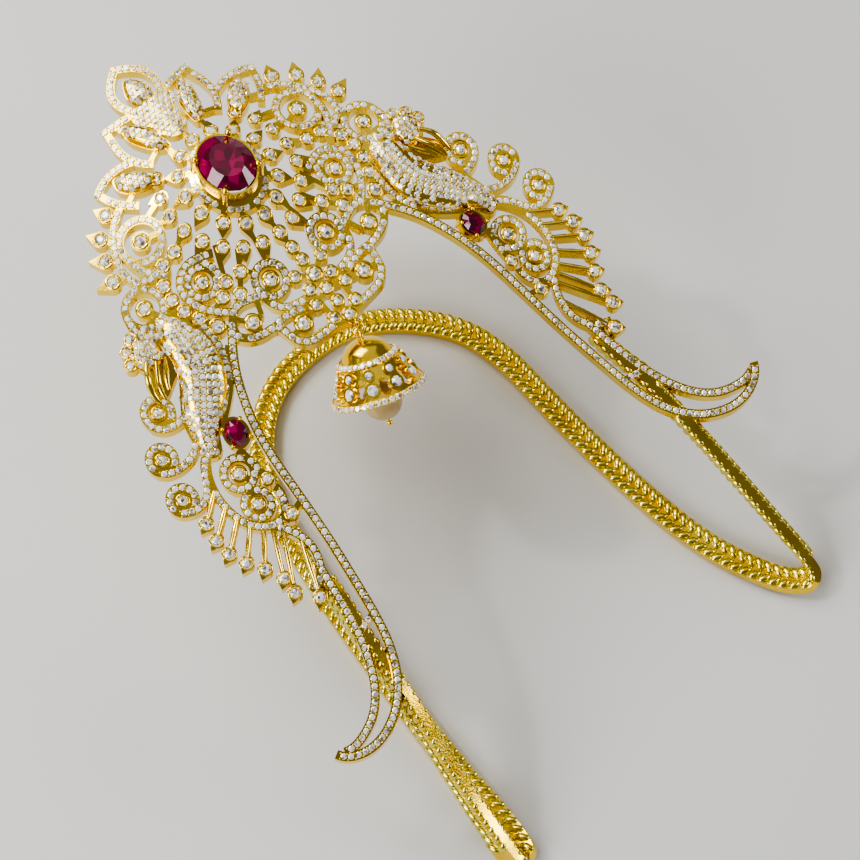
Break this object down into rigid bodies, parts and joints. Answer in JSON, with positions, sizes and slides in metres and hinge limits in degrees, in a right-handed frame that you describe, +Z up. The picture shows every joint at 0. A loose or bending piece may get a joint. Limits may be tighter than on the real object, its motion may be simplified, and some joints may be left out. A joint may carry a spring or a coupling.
{
  "type": "vanki armlet",
  "caption": "Pierced gold upper-arm ornament in an inverted V with ruby centre, peacock wings, stone-set rails, bell drop and an open braided back band.",
  "frame": {"origin": "bottom centre of the bounding box, on the table under the back band", "axes": "+X to the wearer's right leg of the V, +Y towards the crest, +Z up from the back band to the front"},
  "size_m": [0.1044, 0.1452, 0.0656],
  "materials": {
    "gold": "polished yellow gold plate",
    "ruby": "faceted magenta red stone",
    "white_stone": "faceted clear white stone",
    "pearl": "lustrous pale champagne pearl"
  },
  "bodies": {
    "root": {"gold_frame": "gold", "centre_ruby": "ruby", "right_ruby": "ruby", "left_ruby": "ruby", "jump_ring": "gold", "bell_cap": "gold", "bell_stones": "white_stone", "bell_pearl": "pearl", "ring_stones": "white_stone", "scroll_stones": "white_stone", "cup_stones": "white_stone", "spike_stones": "white_stone", "feather_stones": "white_stone", "crest_stones": "white_stone"}
  },
  "joints": []
}
